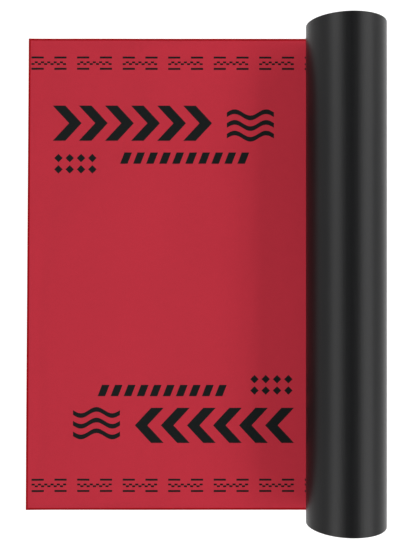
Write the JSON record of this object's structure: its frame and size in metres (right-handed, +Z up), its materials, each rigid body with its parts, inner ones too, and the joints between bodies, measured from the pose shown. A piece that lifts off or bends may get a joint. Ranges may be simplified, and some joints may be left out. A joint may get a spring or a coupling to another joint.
{
  "type": "roll of breather membrane",
  "caption": "Roll of roofing membrane lying on its side, wound black side out around an open bore, with a long free end laid flat beside it, red side up.",
  "frame": {"origin": "on the ground, under the middle of the whole piece's box", "axes": "+Y along the roll, which is the width of the membrane; +Z up; +X from the laid length's cut end towards the roll"},
  "size_m": [1.1148, 1.5, 0.24],
  "materials": {
    "membrane_black": "black spunbonded underside, soft sheen",
    "membrane_red": "red spunbonded top face, matt, with printed lap lines"
  },
  "bodies": {
    "root": {"membrane": "membrane_black"}
  },
  "joints": []
}
